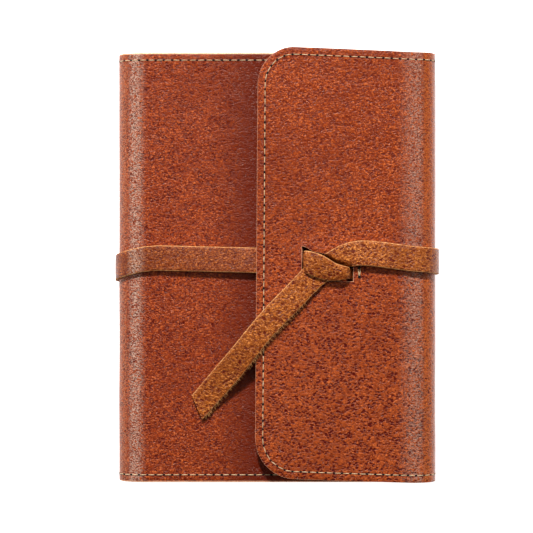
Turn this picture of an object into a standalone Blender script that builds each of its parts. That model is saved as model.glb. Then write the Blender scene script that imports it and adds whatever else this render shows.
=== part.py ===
"""A refillable leather notebook cover, wrapped round its notebook and tied shut with a strap.

It lies on its back: +X towards the fore edge, +Y towards the head, +Z out of the front cover.
Sizes are in millimetres until a mesh is made.
"""

import math

import bmesh
import bpy
from mathutils import Matrix, Vector

MM = 0.001
GAP = 0.3

# Heights of the cover, measured along Y.
BODY_FOOT = -111.2
BODY_HEAD = 108.8
BOARD_INSET = 3.4
PAGE_INSET = 6.0

# The stack of layers, measured along Z.
STRAP_THICKNESS = 1.8
LEATHER = 1.4
LINING = 0.8
BOARD = 1.5
BACK_OUTSIDE_Z = 2.1
FRONT_OUTSIDE_Z = 20.5
PAGES_Z = (7.8, 14.8)
BACK_BOARD_Z = (4.9, 6.4)
BACK_SLEEVE_Z = (6.7, 7.5)
FRONT_SLEEVE_Z = (15.1, 15.9)
FRONT_BOARD_Z = (16.2, 17.7)

# Depths of the layers under the outside of the leather.
LEATHER_DEPTHS = (-LEATHER, 0.0)
LINING_DEPTHS = (-LEATHER - GAP - LINING, -LEATHER - GAP)
STRAP_DEPTHS = (GAP, GAP + STRAP_THICKNESS)
THREAD_DEPTHS = (0.1, 0.4)

# The half-round spine and the half-round fore edge.
SPINE_X = -72.5
SPINE_RADIUS = (FRONT_OUTSIDE_Z - BACK_OUTSIDE_Z) / 2
SPINE_Z = (FRONT_OUTSIDE_Z + BACK_OUTSIDE_Z) / 2
FORE_EDGE_X = 70.95
FORE_EDGE_RADIUS = 10.75
FORE_EDGE_Z = BACK_OUTSIDE_Z + FORE_EDGE_RADIUS
FORE_EDGE_END_DEG = 85.0
FOLD_DEG = 45.0
FOLD_GAP_DEG = 0.8

# The covers and what they hold.
FRONT_FROM_X = SPINE_X + GAP
FRONT_TO_X = 65.0
FRONT_BOARD_TO_X = 64.0
FRONT_SLEEVE_X = (8.0, 64.6)
BACK_BOARD_X = (-71.8, 68.0)
BACK_SLEEVE_X = (8.0, 69.5)
PAGES_X = (-73.3, 66.0)
NOTEBOOK_SPINE_X = (-74.9, -73.6)
NOTEBOOK_SPINE_Z = (6.7, 15.9)

# The flap, with its window for the strap.
FLAP_BEND_X = 48.0
FLAP_EDGE_X = -11.3
FLAP_RISE = 0.0211
FLAP_SKEW = 0.038
FLAP_CORNER = 20.0
WINDOW_X = (12.4, 38.8)
WINDOW_Y = (-8.4, 10.0)

# Stitching.
STITCH_INSET = 3.8
THREAD_WIDTH = 0.7

# The strap: its centre's Y at points along its way round the cover.
STRAP_WIDTH = 13.0
STRAP_FRONT_END_X = 8.0
STRAP_Y_FRONT_END = 1.85
STRAP_Y_SPINE_TOP = 3.75
STRAP_Y_SPINE_SIDE = 0.6
STRAP_Y_SPINE_FOOT = -2.7
STRAP_Y_FORE_FOOT = 0.3
STRAP_Y_BACK_BEND = (0.8, 1.1, 1.3)
STRAP_Y_FORE_EDGE = (1.3, 2.4)
STRAP_Y_FORE_TOP = 3.2
STRAP_Y_BEND = 5.7

# The keeper, as X, Z and lowest and highest Y of its middle surface from left to right.
TAB_Z = FRONT_OUTSIDE_Z + GAP + STRAP_THICKNESS / 2
KEEPER_PATH = (
    (8.3, TAB_Z, 0.5, 7.2),
    (12.6, TAB_Z, 0.5, 7.2),
    (13.6, TAB_Z + 1.0, 0.5, 7.2),
    (13.6, 28.6, 0.5, 7.2),
    (14.0, 29.5, 0.5, 7.2),
    (15.0, 29.8, -4.0, 7.2),
    (21.8, 29.65, -6.5, 6.2),
    (27.4, 29.55, -7.7, 3.1),
    (31.5, 29.4, -7.9, 0.1),
    (36.4, 29.2, -7.6, -1.7),
    (37.6, 28.0, -7.4, -2.9),
    (37.6, TAB_Z + 1.0, -7.4, -2.9),
    (38.6, TAB_Z, -7.4, -2.9),
    (46.0, TAB_Z, -7.4, -2.9),
)
TACK_X = (41.3, 42.1)
TACK_Y = (-6.6, -1.2)
TACK_HEIGHTS = (0.1, 0.6)

# The strap's turn under the keeper, as X and Y of its centre, and the tail after it.
TURN_PATH = (
    (41.5, 5.9),
    (36.4, 4.9),
    (31.0, 2.2),
    (26.0, -1.0),
    (21.8, -3.6),
    (18.0, -5.8),
    (15.0, -8.4),
)
TAIL_START = (14.6, -8.8)
TAIL_DIRECTION = (-0.6601, -0.7512)
TAIL_HALF_WIDTH = 6.45
# Distance along the tail, and the height of its underside above the flap's own slope.
TAIL_ON_FLAP = ((0.3, GAP), (14.0, 0.6), (28.0, 0.8), (47.0, 0.8))
TAIL_HANGING = ((60.0, 24.9), (74.0, 22.0))
TAIL_TIP = (81.4, 87.6)
TAIL_TIP_Z = 21.2

LOOKS = {
    "outer_leather": ((0.30, 0.09, 0.04), 0.55),
    "lining_leather": ((0.42, 0.24, 0.13), 0.8),
    "strap_leather": ((0.36, 0.13, 0.055), 0.55),
    "thread": ((0.55, 0.42, 0.27), 0.9),
    "board": ((0.16, 0.12, 0.09), 0.8),
    "paper": ((0.86, 0.82, 0.72), 0.9),
}


def clear_scene():
    for thing in list(bpy.data.objects):
        bpy.data.objects.remove(thing)


def collection(name, helper=False):
    made = bpy.data.collections.new(name)
    made.hide_render = helper
    bpy.context.scene.collection.children.link(made)
    return made


def material(name, look):
    made = bpy.data.materials.new(name)
    made.use_nodes = True
    shader = made.node_tree.nodes["Principled BSDF"]
    colour, roughness = LOOKS[look]
    shader.inputs["Base Color"].default_value = (*colour, 1.0)
    shader.inputs["Roughness"].default_value = roughness
    return made


def loft(name, sections, look, body):
    """A closed solid through a row of four-cornered sections, given in millimetres."""
    shape = bmesh.new()
    rows = []
    for section in sections:
        rows.append([shape.verts.new(Vector(corner) * MM) for corner in section])
    for here, there in zip(rows, rows[1:]):
        for side in range(4):
            after = (side + 1) % 4
            shape.faces.new((here[side], here[after], there[after], there[side]))
    shape.faces.new(rows[0])
    shape.faces.new(rows[-1][::-1])
    bmesh.ops.recalc_face_normals(shape, faces=shape.faces[:])
    mesh = bpy.data.meshes.new(name)
    shape.to_mesh(mesh)
    shape.free()
    mesh.materials.append(material(name, look))
    made = bpy.data.objects.new(name, mesh)
    COVER.objects.link(made)
    made.parent = body
    made.matrix_parent_inverse = Matrix.Translation(-body.location)
    return made


def block(name, xs, ys, zs, look, body):
    sections = []
    for x in xs:
        sections.append([(x, ys[0], zs[0]), (x, ys[1], zs[0]), (x, ys[1], zs[1]), (x, ys[0], zs[1])])
    return loft(name, sections, look, body)


def across(station, depths, ys):
    """One section of a panel: the station's offset direction gives its thickness."""
    x, z, nx, nz = station
    low, high = depths
    return [
        (x + low * nx, ys[0], z + low * nz),
        (x + low * nx, ys[1], z + low * nz),
        (x + high * nx, ys[1], z + high * nz),
        (x + high * nx, ys[0], z + high * nz),
    ]


def panel(name, stations, depths, heights, look, body):
    """heights holds the lowest and highest Y at each station, or one pair for all of them."""
    if not isinstance(heights, list):
        heights = [heights] * len(stations)
    sections = [across(station, depths, ys) for station, ys in zip(stations, heights)]
    return loft(name, sections, look, body)


def arc(centre, radius, angles):
    """Stations round an arc: X, Z and the outward direction."""
    found = []
    for degrees in angles:
        nx = math.cos(math.radians(degrees))
        nz = math.sin(math.radians(degrees))
        found.append((centre[0] + radius * nx, centre[1] + radius * nz, nx, nz))
    return found


def spread(first, last, count):
    return [first + (last - first) * step / count for step in range(count + 1)]


def flap_z(x):
    """Height of the flap's outside, left of its bend."""
    return FLAP_BEND_Z + (FLAP_BEND_X - x) * FLAP_RISE


def flap_station(x):
    lean = math.atan(FLAP_RISE)
    return (x, flap_z(x), math.sin(lean), math.cos(lean))


def flap_shift(x):
    """How far the flap has drifted towards the head, because the cover is folded slightly askew."""
    return FLAP_SKEW * max(0.0, FORE_EDGE_X - x)


def flap_heights(x, inset=0.0):
    foot = BODY_FOOT + flap_shift(x) + inset
    head = BODY_HEAD + flap_shift(x) - inset
    radius = FLAP_CORNER - inset
    into_corner = min(radius, max(0.0, FLAP_EDGE_X + FLAP_CORNER - x))
    cut = radius - math.sqrt(radius**2 - into_corner**2)
    return (foot + cut, head - cut)


def strap_heights(centre, width=STRAP_WIDTH):
    return (centre - width / 2, centre + width / 2)


def strap_round(stations, first, last, depths, name, body):
    """A run of strap whose centre moves evenly from one Y to another."""
    count = len(stations) - 1
    heights = [strap_heights(y) for y in spread(first, last, count)]
    return panel(name, stations, depths, heights, "strap_leather", body)


def body_axis(name, x, y, z, parent=None):
    """An empty on the joint's axis, which holds the pieces of one moving body."""
    made = bpy.data.objects.new(name, None)
    made.location = Vector((x, y, z)) * MM
    made.empty_display_size = 0.01
    COVER.objects.link(made)
    if parent:
        made.parent = parent
        made.matrix_parent_inverse = Matrix.Translation(-parent.location)
    return made


def make_back():
    """The back cover and the spine, with the notebook that they carry."""
    back_arc = arc(FORE_EDGE, FORE_EDGE_RADIUS, spread(-90.0, -FOLD_DEG - FOLD_GAP_DEG, 3))
    flat_from = (SPINE_X + GAP, BACK_OUTSIDE_Z, 0.0, -1.0)
    back = [flat_from] + back_arc
    panel("back_cover_leather", back, LEATHER_DEPTHS, BODY_Y, "outer_leather", BACK)
    panel("back_cover_lining", back, LINING_DEPTHS, BODY_Y, "lining_leather", BACK)
    spine = arc(SPINE, SPINE_RADIUS, spread(90.0, 270.0, 12))
    panel("spine_leather", spine, LEATHER_DEPTHS, BODY_Y, "outer_leather", BACK)
    panel("spine_lining", spine, LINING_DEPTHS, BODY_Y, "lining_leather", BACK)
    block("back_pocket_sleeve", BACK_SLEEVE_X, BODY_Y, BACK_SLEEVE_Z, "lining_leather", BACK)

    board_y = (BODY_FOOT + BOARD_INSET, BODY_HEAD - BOARD_INSET)
    page_y = (BODY_FOOT + PAGE_INSET, BODY_HEAD - PAGE_INSET)
    block("notebook_back_board", BACK_BOARD_X, board_y, BACK_BOARD_Z, "board", BACK)
    block("notebook_page_block", PAGES_X, page_y, PAGES_Z, "paper", BACK)
    block("notebook_spine_strip", NOTEBOOK_SPINE_X, board_y, NOTEBOOK_SPINE_Z, "board", BACK)

    run = [strap_heights(y) for y in (STRAP_Y_SPINE_FOOT, STRAP_Y_FORE_FOOT, *STRAP_Y_BACK_BEND)]
    panel("strap_back_run", back, STRAP_DEPTHS, run, "strap_leather", BACK)
    down = spread(STRAP_Y_SPINE_TOP, STRAP_Y_SPINE_SIDE, 6)
    down += spread(STRAP_Y_SPINE_SIDE, STRAP_Y_SPINE_FOOT, 6)[1:]
    run = [strap_heights(y) for y in down]
    panel("strap_spine_run", spine, STRAP_DEPTHS, run, "strap_leather", BACK)

    threaded = spine + back
    for end, ys in THREAD_Y.items():
        panel(f"back_stitching_{end}", threaded, THREAD_DEPTHS, ys, "thread", BACK)


def make_front():
    front = [(x, FRONT_OUTSIDE_Z, 0.0, 1.0) for x in (FRONT_FROM_X, FRONT_TO_X)]
    panel("front_cover_leather", front, LEATHER_DEPTHS, BODY_Y, "outer_leather", FRONT)
    panel("front_cover_lining", front, LINING_DEPTHS, BODY_Y, "lining_leather", FRONT)
    block("front_pocket_sleeve", FRONT_SLEEVE_X, BODY_Y, FRONT_SLEEVE_Z, "lining_leather", FRONT)
    board_y = (BODY_FOOT + BOARD_INSET, BODY_HEAD - BOARD_INSET)
    board_x = (FRONT_FROM_X, FRONT_BOARD_TO_X)
    block("notebook_front_board", board_x, board_y, FRONT_BOARD_Z, "board", FRONT)
    run = [(x, FRONT_OUTSIDE_Z, 0.0, 1.0) for x in (FRONT_FROM_X, STRAP_FRONT_END_X)]
    strap_round(run, STRAP_Y_SPINE_TOP, STRAP_Y_FRONT_END, STRAP_DEPTHS, "strap_front_run", FRONT)
    for end, ys in THREAD_Y.items():
        panel(f"front_stitching_{end}", front, THREAD_DEPTHS, ys, "thread", FRONT)


def make_fore_edge():
    edge = arc(FORE_EDGE, FORE_EDGE_RADIUS, spread(-FOLD_DEG + FOLD_GAP_DEG, FOLD_DEG - FOLD_GAP_DEG, 6))
    panel("fore_edge_leather", edge, LEATHER_DEPTHS, BODY_Y, "outer_leather", FOLD)
    panel("fore_edge_lining", edge, LINING_DEPTHS, BODY_Y, "lining_leather", FOLD)
    strap_round(edge, *STRAP_Y_FORE_EDGE, STRAP_DEPTHS, "strap_fore_edge_run", FOLD)
    for end, ys in THREAD_Y.items():
        panel(f"fore_edge_stitching_{end}", edge, THREAD_DEPTHS, ys, "thread", FOLD)


def flap_stations(inset=0.0):
    radius = FLAP_CORNER - inset
    corner_x = FLAP_EDGE_X + FLAP_CORNER
    turns = [corner_x - radius * math.sin(math.radians(angle)) for angle in (0, 15, 30, 45, 60, 75, 90)]
    bend_lean = (math.radians(90.0 - FORE_EDGE_END_DEG) + math.atan(FLAP_RISE)) / 2
    bend = (FLAP_BEND_X, FLAP_BEND_Z, math.sin(bend_lean), math.cos(bend_lean))
    return FLAP_ARC + [bend] + [flap_station(x) for x in turns]


def cut_window(flap_piece, cutter):
    cut = flap_piece.modifiers.new("window", "BOOLEAN")
    cut.operation = "DIFFERENCE"
    cut.solver = "EXACT"
    cut.object = cutter


def make_window_cutter():
    shape = bmesh.new()
    bmesh.ops.create_cube(shape, size=1.0)
    mesh = bpy.data.meshes.new("window_cutter")
    shape.to_mesh(mesh)
    shape.free()
    made = bpy.data.objects.new("window_cutter", mesh)
    made.location = Vector((sum(WINDOW_X) / 2, sum(WINDOW_Y) / 2, FLAP_BEND_Z)) * MM
    made.scale = Vector((WINDOW_X[1] - WINDOW_X[0], WINDOW_Y[1] - WINDOW_Y[0], 20.0)) * MM
    made.hide_render = True
    made.display_type = "WIRE"
    CUTTERS.objects.link(made)
    return made


def make_flap_thread():
    """One line of thread from the fore edge along the head, down the free edge and back along the foot."""
    inner = FLAP_CORNER - STITCH_INSET
    corner_x = FLAP_EDGE_X + FLAP_CORNER
    sections = []

    def add(station, y, out_x, out_y):
        x, z, nx, nz = station
        side = THREAD_WIDTH / 2
        corners = []
        for depth, sign in ((0, -1), (0, 1), (1, 1), (1, -1)):
            raised = THREAD_DEPTHS[depth]
            along = x + sign * side * out_x
            rise = z - (along - x) * nx / nz
            corners.append((along + raised * nx, y + sign * side * out_y, rise + raised * nz))
        sections.append(corners)

    straight = FLAP_ARC + [flap_stations()[len(FLAP_ARC)]]
    for station in straight:
        add(station, flap_heights(station[0], STITCH_INSET)[1], 0.0, 1.0)
    angles = list(range(0, 91, 15))
    for angle in angles:
        turn = math.radians(angle)
        x = corner_x - inner * math.sin(turn)
        y = BODY_HEAD + flap_shift(x) - FLAP_CORNER + inner * math.cos(turn)
        add(flap_station(x), y, -math.sin(turn), math.cos(turn))
    for angle in angles[::-1]:
        turn = math.radians(angle)
        x = corner_x - inner * math.sin(turn)
        y = BODY_FOOT + flap_shift(x) + FLAP_CORNER - inner * math.cos(turn)
        add(flap_station(x), y, -math.sin(turn), -math.cos(turn))
    for station in straight[::-1]:
        add(station, flap_heights(station[0], STITCH_INSET)[0], 0.0, -1.0)
    loft("flap_stitching", sections, "thread", FLAP)


def make_keeper():
    """The strap's sewn end, which bridges the window and holds the strap down."""
    sections = []
    half = STRAP_THICKNESS / 2
    for index, (x, z, low, high) in enumerate(KEEPER_PATH):
        before = KEEPER_PATH[max(index - 1, 0)]
        after = KEEPER_PATH[min(index + 1, len(KEEPER_PATH) - 1)]
        along_in = Vector((x - before[0], z - before[1]))
        along_out = Vector((after[0] - x, after[1] - z))
        ways = [way.normalized() for way in (along_in, along_out) if way.length > 0]
        mean = sum(ways, Vector((0, 0))).normalized()
        stretch = half / max(0.7, mean.dot(ways[0]))
        nx, nz = -mean.y * stretch, mean.x * stretch
        sections.append(across((x, z, nx, nz), (-1.0, 1.0), (low, high)))
    loft("strap_keeper", sections, "strap_leather", FLAP)


def turning(centre, way, half_width, underside):
    """A section of strap that lies on the flap and heads along way in plan."""
    side = Vector((way[1], -way[0])).normalized() * half_width
    corners = []
    for sign, raised in ((-1, 0.0), (1, 0.0), (1, STRAP_THICKNESS), (-1, STRAP_THICKNESS)):
        x = centre[0] + sign * side.x
        corners.append((x, centre[1] + sign * side.y, underside(x) + raised))
    return corners


def above_flap(raised):
    """The underside of a strap that lies this far above the flap."""

    def underside(x):
        return flap_z(x) + raised

    return underside


def level(height):
    """The underside of a strap that is at one height across its width."""

    def underside(x):
        return height

    return underside


def make_strap_over_flap():
    stations = FLAP_ARC + [flap_stations()[len(FLAP_ARC)]]
    centres = spread(STRAP_Y_FORE_EDGE[1], STRAP_Y_FORE_TOP, len(FLAP_ARC) - 1) + [STRAP_Y_BEND]
    sections = []
    for station, y in zip(stations, centres):
        sections.append(across(station, STRAP_DEPTHS, strap_heights(y)))
    for index, centre in enumerate(TURN_PATH):
        before = TURN_PATH[max(index - 1, 0)]
        after = TURN_PATH[min(index + 1, len(TURN_PATH) - 1)]
        way = (after[0] - before[0], after[1] - before[1])
        if index == 0:
            way = (-1.0, 0.0)
        if index == len(TURN_PATH) - 1:
            way = TAIL_DIRECTION
        sections.append(turning(centre, way, STRAP_WIDTH / 2, above_flap(GAP)))
    loft("strap_over_flap", sections, "strap_leather", FLAP)


def along_tail(distance):
    return [TAIL_START[axis] + TAIL_DIRECTION[axis] * distance for axis in (0, 1)]


def tail_section(distance, underside):
    return turning(along_tail(distance), TAIL_DIRECTION, TAIL_HALF_WIDTH, underside)


def make_tail():
    """It lies on the flap, hangs over the flap's free edge and ends in a slanted cut."""
    sections = []
    for distance, raised in TAIL_ON_FLAP:
        sections.append(tail_section(distance, above_flap(raised)))
    for distance, underside in TAIL_HANGING:
        sections.append(tail_section(distance, level(underside)))
    near, far = [tail_section(end, level(TAIL_TIP_Z)) for end in TAIL_TIP]
    sections.append([far[0], near[1], near[2], far[3]])
    loft("strap_tail", sections, "strap_leather", TAIL)


def make_flap():
    stations = flap_stations()
    heights = [flap_heights(station[0]) for station in stations]
    cutter = make_window_cutter()
    leather = panel("flap_leather", stations, LEATHER_DEPTHS, heights, "outer_leather", FLAP)
    lining = panel("flap_lining", stations, LINING_DEPTHS, heights, "lining_leather", FLAP)
    cut_window(leather, cutter)
    cut_window(lining, cutter)
    make_flap_thread()
    make_keeper()
    make_strap_over_flap()
    tack_z = [flap_z(TACK_X[0]) + height for height in TACK_HEIGHTS]
    block("keeper_bar_tack", TACK_X, TACK_Y, tack_z, "thread", FLAP)


BODY_Y = (BODY_FOOT, BODY_HEAD)
FORE_EDGE = (FORE_EDGE_X, FORE_EDGE_Z)
SPINE = (SPINE_X, SPINE_Z)
FLAP_ARC = arc(FORE_EDGE, FORE_EDGE_RADIUS, spread(FOLD_DEG + FOLD_GAP_DEG, FORE_EDGE_END_DEG, 3))
FLAP_BEND_SLOPE = math.tan(math.radians(90.0 - FORE_EDGE_END_DEG))
FLAP_BEND_Z = FLAP_ARC[-1][1] + (FLAP_ARC[-1][0] - FLAP_BEND_X) * FLAP_BEND_SLOPE
THREAD_Y = {
    "top": (BODY_HEAD - STITCH_INSET - THREAD_WIDTH / 2, BODY_HEAD - STITCH_INSET + THREAD_WIDTH / 2),
    "bottom": (BODY_FOOT + STITCH_INSET - THREAD_WIDTH / 2, BODY_FOOT + STITCH_INSET + THREAD_WIDTH / 2),
}
FOLD_RADIUS = FORE_EDGE_RADIUS + STRAP_DEPTHS[1]
FOLD_OUT = FOLD_RADIUS * math.cos(math.radians(FOLD_DEG))
STRAP_TOP_Z = FRONT_OUTSIDE_Z + STRAP_DEPTHS[1]

clear_scene()
COVER = collection("leather_notebook_cover")
CUTTERS = collection("cutters", helper=True)
BACK = body_axis("back_cover_body", 0.0, 0.0, 0.0)
FRONT = body_axis("front_cover_turn_axis", SPINE_X + GAP / 2, 0.0, STRAP_TOP_Z, BACK)
FOLD = body_axis("fore_edge_fold_axis", FORE_EDGE_X + FOLD_OUT, 0.0, FORE_EDGE_Z - FOLD_OUT, BACK)
FLAP = body_axis("flap_fold_axis", FORE_EDGE_X + FOLD_OUT, 0.0, FORE_EDGE_Z + FOLD_OUT, FOLD)
TAIL_PIVOT_Z = flap_z(TAIL_START[0]) + GAP + STRAP_THICKNESS
TAIL = body_axis("strap_tail_lift_axis", *TAIL_START, TAIL_PIVOT_Z, FLAP)
make_back()
make_front()
make_fore_edge()
make_flap()
make_tail()
bpy.context.view_layer.update()
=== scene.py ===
"""The looks of the leather notebook cover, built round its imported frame.

Sizes are in millimetres until a mesh is made.
"""

import math
import random

import bmesh
import bpy
import numpy as np
from mathutils import Matrix, Vector, noise


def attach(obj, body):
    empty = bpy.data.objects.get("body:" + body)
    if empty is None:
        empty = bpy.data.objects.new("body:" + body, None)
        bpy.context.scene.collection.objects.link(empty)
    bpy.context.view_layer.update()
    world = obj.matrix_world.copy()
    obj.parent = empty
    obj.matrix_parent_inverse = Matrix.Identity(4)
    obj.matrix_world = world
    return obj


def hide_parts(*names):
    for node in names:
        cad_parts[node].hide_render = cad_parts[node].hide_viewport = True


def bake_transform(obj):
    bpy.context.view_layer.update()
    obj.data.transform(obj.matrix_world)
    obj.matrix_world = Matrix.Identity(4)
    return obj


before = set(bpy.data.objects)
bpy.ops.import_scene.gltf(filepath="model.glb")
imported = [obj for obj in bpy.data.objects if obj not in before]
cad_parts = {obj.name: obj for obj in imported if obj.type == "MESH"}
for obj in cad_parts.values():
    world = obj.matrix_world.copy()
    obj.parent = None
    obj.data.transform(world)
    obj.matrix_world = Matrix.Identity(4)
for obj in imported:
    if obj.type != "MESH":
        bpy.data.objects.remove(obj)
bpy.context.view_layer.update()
random.seed(7)

MM = 0.001

# The cover's foot and head along Y, and the thickness and height of its layers, as the CAD has them.
FOOT, HEAD = -111.2, 108.8
MID_Y = (FOOT + HEAD) / 2
HALF_Y = (HEAD - FOOT) / 2
LEATHER, LINING, STRAP = 1.4, 0.8, 1.8
FRONT_Z, BACK_Z = 20.5, 2.1
FRONT_RIGHT_X = 65.0
# Where the front and the back skin meet, under the cover.
SPLIT_X = 0.0
# The spine and the fore edge are half ellipses: centre in X and Z, half width, half height.
SPINE_C, SPINE_A, SPINE_B = (-68.7, 11.3), 13.0, 9.2
FORE_C, FORE_A, FORE_B = (68.2, 12.85), 13.5, 10.75
# The flap: its free edge, corner radius, lean and window. Its upper side lies above UPPER_Z.
FLAP_X = -11.3
CORNER = 20.0
SKEW = 0.038
WINDOW_X = (12.4, 38.8)
WINDOW_Y = (-8.4, 10.0)
UPPER_Z = 20.0
# Seams: distance from the edge, and length of one stitch.
INSET = 3.8
PITCH = 4.22
# Material slots of a sheet or a strap, and of a seam.
GRAIN, CUT, FLESH = 0, 1, 2
THREAD, HOLE = 0, 1


# ---------------------------------------------------------------- paths

def line(a, b, normal, step=2.5):
    count = max(1, round(math.dist(a, b) / step))
    return [(a[0] + (b[0] - a[0]) * i / count, a[1] + (b[1] - a[1]) * i / count, *normal)
            for i in range(count + 1)]


def ellipse(c, a, b, first, last, step=7.5):
    count = max(1, round(abs(last - first) / step))
    found = []
    for i in range(count + 1):
        t = math.radians(first + (last - first) * i / count)
        n = Vector((math.cos(t) / a, math.sin(t) / b)).normalized()
        found.append((c[0] + a * math.cos(t), c[1] + b * math.sin(t), n.x, n.y))
    return found


def catmull_rom(p0, p1, p2, p3, t):
    """The point at share t of the way from p1 to p2, on a smooth curve through all four."""
    cubic = 3 * p1 - p0 - 3 * p2 + p3
    return 0.5 * ((2 * p1) + (p2 - p0) * t + (2 * p0 - 5 * p1 + 4 * p2 - p3) * t**2 + cubic * t**3)


def smooth_curve(points, parts):
    """A close row of points on the smooth curve from the second point to the last but one."""
    dense = []
    for four in zip(points, points[1:], points[2:], points[3:]):
        dense += [catmull_rom(*four, k / parts) for k in range(parts)]
    return [*dense, points[-2]]


def running(gaps):
    """The distance gone at each point, from the gaps between the points."""
    gone = [0.0]
    for gap in gaps:
        gone.append(gone[-1] + gap)
    return gone


def spline(points, step, reach=0.4):
    """A smooth path through XZ points, with its normal on the left of its way."""
    dense = smooth_curve([Vector(p) for p in points], 24)
    xs, zs = [p.x for p in dense], [p.y for p in dense]
    lengths = running((b - a).length for a, b in zip(dense, dense[1:]))
    count = round(lengths[-1] / step)
    found = []
    for i in range(count + 1):
        s = lengths[-1] * i / count
        behind, ahead = max(0.0, s - reach), min(lengths[-1], s + reach)
        along_x = np.interp(ahead, lengths, xs) - np.interp(behind, lengths, xs)
        along_z = np.interp(ahead, lengths, zs) - np.interp(behind, lengths, zs)
        way = Vector((along_x, along_z)).normalized()
        found.append((float(np.interp(s, lengths, xs)), float(np.interp(s, lengths, zs)), way.y, -way.x))
    return found


def joined(*runs):
    found = list(runs[0])
    for run in runs[1:]:
        found += run[1:]
    return found


FLAP_POINTS = (
    (80.9, 8.4), (81.7, 12.85), (80.9, 17.1), (78.5, 20.6), (74.6, 22.75), (70.0, 23.75), (64.0, 24.35),
    (56.0, 25.0), (46.0, 25.65), (30.0, 26.1), (12.0, 26.45), (-2.0, 26.7), (FLAP_X, 26.9), (-20.0, 27.1),
)
FRONT_PATH = joined(line((FRONT_RIGHT_X, FRONT_Z), (SPINE_C[0], FRONT_Z), (0, 1)),
                    ellipse(SPINE_C, SPINE_A, SPINE_B, 90, 270),
                    line((SPINE_C[0], BACK_Z), (SPLIT_X, BACK_Z), (0, -1)))
BACK_PATH = joined(line((SPLIT_X, BACK_Z), (FORE_C[0], BACK_Z), (0, -1)),
                   ellipse(FORE_C, FORE_A, FORE_B, -90, 0))
FLAP_PATH = spline(FLAP_POINTS, 1.6)


def flap_z(x):
    xs = [s[0] for s in FLAP_PATH][::-1]
    zs = [s[1] for s in FLAP_PATH][::-1]
    return float(np.interp(x, xs, zs))


def flap_slope(x):
    return flap_z(x - 0.5) - flap_z(x + 0.5)


def flap_shift(x, share):
    """The flap is folded slightly askew and has drifted towards the head. The strap holds its middle."""
    far = min(1.0, max(0.0, (abs(share) - 0.12) / 0.4))
    return SKEW * max(0.0, 70.0 - x) * far * far * (3 - 2 * far)


def flap_half(x, inset=0.0):
    radius = CORNER - inset
    into = min(radius, max(0.0, FLAP_X + CORNER - x))
    return HALF_Y - inset - (radius - math.sqrt(max(0.0, radius**2 - into**2)))


# ---------------------------------------------------------------- mesh helpers

def finish_mesh(name, shape, looks):
    mesh = bpy.data.meshes.new(name)
    shape.to_mesh(mesh)
    shape.free()
    for look in looks:
        mesh.materials.append(look)
    made = bpy.data.objects.new(name, mesh)
    bpy.context.scene.collection.objects.link(made)
    return made


def bake(made):
    """Applies the object's modifiers."""
    graph = bpy.context.evaluated_depsgraph_get()
    mesh = bpy.data.meshes.new_from_object(made.evaluated_get(graph))
    made.modifiers.clear()
    made.data = mesh
    return made


def smooth(made, angle=40.0):
    for face in made.data.polygons:
        face.use_smooth = True
    made.data.set_sharp_from_angle(angle=math.radians(angle))
    return made


def wave(p, size, amount):
    return amount * noise.noise(Vector(p) / size)


def skin(name, stations, rows_at, thickness, depth, looks, hole=None, ripple=0.0, lift=None, slide=None,
         bevel=0.75):
    """A sheet of leather: a grid over the stations and rows, thickened inwards, with rounded edges."""
    shape = bmesh.new()
    grid = []
    for x, z, nx, nz in stations:
        column = []
        for y in rows_at(x, z):
            raised = lift(x, y, z) if lift else 0.0
            off = -depth + wave((x, y, z), 22.0, ripple) + raised
            aside = slide(x, y) if slide else 0.0
            column.append(shape.verts.new(Vector((x + aside + off * nx, y, z + off * nz)) * MM))
        grid.append(column)
    for i in range(len(grid) - 1):
        for j in range(len(grid[0]) - 1):
            if hole and hole(stations[i], stations[i + 1], j):
                continue
            shape.faces.new((grid[i][j], grid[i][j + 1], grid[i + 1][j + 1], grid[i + 1][j]))
    for vert in [v for v in shape.verts if not v.link_faces]:
        shape.verts.remove(vert)
    shape.normal_update()
    faces = shape.faces[:]
    middle = faces[len(faces) // 2]
    centre = middle.calc_center_median() / MM
    nearest = min(stations, key=lambda s: (s[0] - centre.x)**2 + (s[1] - centre.z)**2)
    if middle.normal.dot(Vector((nearest[2], 0, nearest[3]))) < 0:
        bmesh.ops.reverse_faces(shape, faces=faces)
    made = finish_mesh(name, shape, looks)
    solid = made.modifiers.new("thickness", "SOLIDIFY")
    solid.thickness = thickness * MM
    solid.offset = -1.0
    solid.use_even_offset = True
    solid.use_rim = True
    solid.material_offset = FLESH
    solid.material_offset_rim = CUT
    # The bevel gives each edge the cut edge's look: a pale border on top that is partly painted highlight.
    soft = made.modifiers.new("worn edges", "BEVEL")
    soft.width = bevel * MM
    soft.segments = 2
    soft.material = CUT
    soft.limit_method = "ANGLE"
    soft.angle_limit = math.radians(60)
    return smooth(bake(made))


# A strap's cut edges are rounded by EDGE_ROUND. Its faces are counted round the outline from the underside.
EDGE_ROUND = 0.42
EDGE_CHAMFER = EDGE_ROUND * 0.29
CUT_FACES = (9, 10, 11, 12, 21, 22, 23, 24)
FLESH_FACES = (*range(9), 25)


def strap_outline(half, thickness):
    """Points round a strap's section, from the left of its underside."""
    inner = [half * share / 4 for share in range(-3, 4)]
    return [(-half + EDGE_ROUND, 0.0), *((a, 0.0) for a in inner), (half - EDGE_ROUND, 0.0),
            (half - EDGE_CHAMFER, EDGE_CHAMFER), (half, EDGE_ROUND), (half, thickness - EDGE_ROUND),
            (half - EDGE_CHAMFER, thickness - EDGE_CHAMFER), (half - EDGE_ROUND, thickness),
            *((-a, thickness) for a in inner), (-half + EDGE_ROUND, thickness),
            (-half + EDGE_CHAMFER, thickness - EDGE_CHAMFER), (-half, thickness - EDGE_ROUND),
            (-half, EDGE_ROUND), (-half + EDGE_CHAMFER, EDGE_CHAMFER)]


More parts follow.
